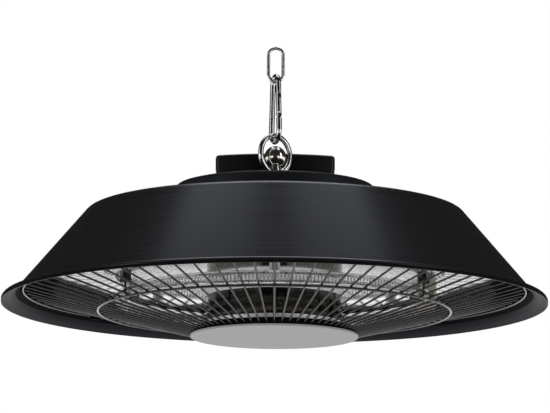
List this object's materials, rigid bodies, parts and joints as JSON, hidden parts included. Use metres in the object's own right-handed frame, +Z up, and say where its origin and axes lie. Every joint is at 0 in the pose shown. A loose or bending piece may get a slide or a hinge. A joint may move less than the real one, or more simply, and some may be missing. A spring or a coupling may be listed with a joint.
{
  "type": "hanging patio heater",
  "caption": "Hanging infrared patio heater: black spun shade, polished reflector, ring lamp behind a conical wire guard, and a jointed chain, carabiner and ring to hang it by.",
  "frame": {"origin": "the hanging point: the inside top of the chain link, where a hook carries the heater", "axes": "+Z up; +X to the viewer's right in the pictured view; +Y away from the viewer"},
  "size_m": [0.425, 0.425, 0.2302],
  "materials": {
    "black_enamel": "satin black enamel with faint spun rings",
    "black_plastic": "satin moulded",
    "chrome": "bright plated",
    "steel": "zinc plated",
    "reflector_aluminium": "polished",
    "disc_grey": "silver grey coat",
    "quartz": "clear tube",
    "filament_wire": "bare tungsten wire",
    "ceramic_beige": "unglazed",
    "white_plastic": "moulded",
    "lead_rubber": "matt"
  },
  "bodies": {
    "link": {"chain_link": "chrome"},
    "carabiner": {"carabiner_body": "chrome", "gate_rivet": "steel"},
    "gate": {"carabiner_gate": "chrome"},
    "ring": {"hanging_ring": "chrome"},
    "heater": {"ball_stud": "chrome", "stud_washer": "steel", "stud_nut": "steel", "shade": "black_enamel", "top_cap": "black_enamel", "cap_screws": "steel", "box_base": "black_plastic", "box_cover": "black_plastic", "box_screws": "steel", "mount_screws": "steel", "cable_gland": "black_plastic", "gland_nut": "black_plastic", "terminal_block": "white_plastic", "lead_grommet": "lead_rubber", "reflector": "reflector_aluminium", "reflector_spacers": "steel", "reflector_bolts": "steel", "reflector_nuts": "steel", "reflector_hub": "reflector_aluminium", "hub_rivets": "steel", "centre_disc": "disc_grey", "disc_nuts": "steel", "lamp_tube": "quartz", "lamp_filament": "filament_wire", "lamp_sockets": "ceramic_beige", "lamp_clips": "black_enamel", "lamp_hooks": "steel", "guard_grille": "black_enamel", "guard_clips": "black_enamel", "thermal_cutout": "white_plastic", "lamp_lead_a": "lead_rubber", "lamp_lead_b": "lead_rubber"}
  },
  "joints": [
    {"name": "carabiner_swing", "type": "hinge", "parent": "link", "child": "carabiner", "pos_m": [0, 0, -0.0251], "axis": [1, 0, 0], "range_deg": [-30, 30]},
    {"name": "gate_pivot", "type": "hinge", "parent": "carabiner", "child": "gate", "pos_m": [0.00268, -0.00779, -0.0531], "axis": [-0.9455, -0.3256, 0], "range_deg": [0, 25], "stiffness_Nm_per_rad": 0.05},
    {"name": "ring_swing", "type": "hinge", "parent": "carabiner", "child": "ring", "pos_m": [0, 0, -0.0731], "axis": [0.3256, -0.9455, 0], "range_deg": [-30, 30]},
    {"name": "heater_swing", "type": "hinge", "parent": "ring", "child": "heater", "pos_m": [0, 0, -0.0973], "axis": [0.766, 0.6428, 0], "range_deg": [-20, 20]}
  ]
}
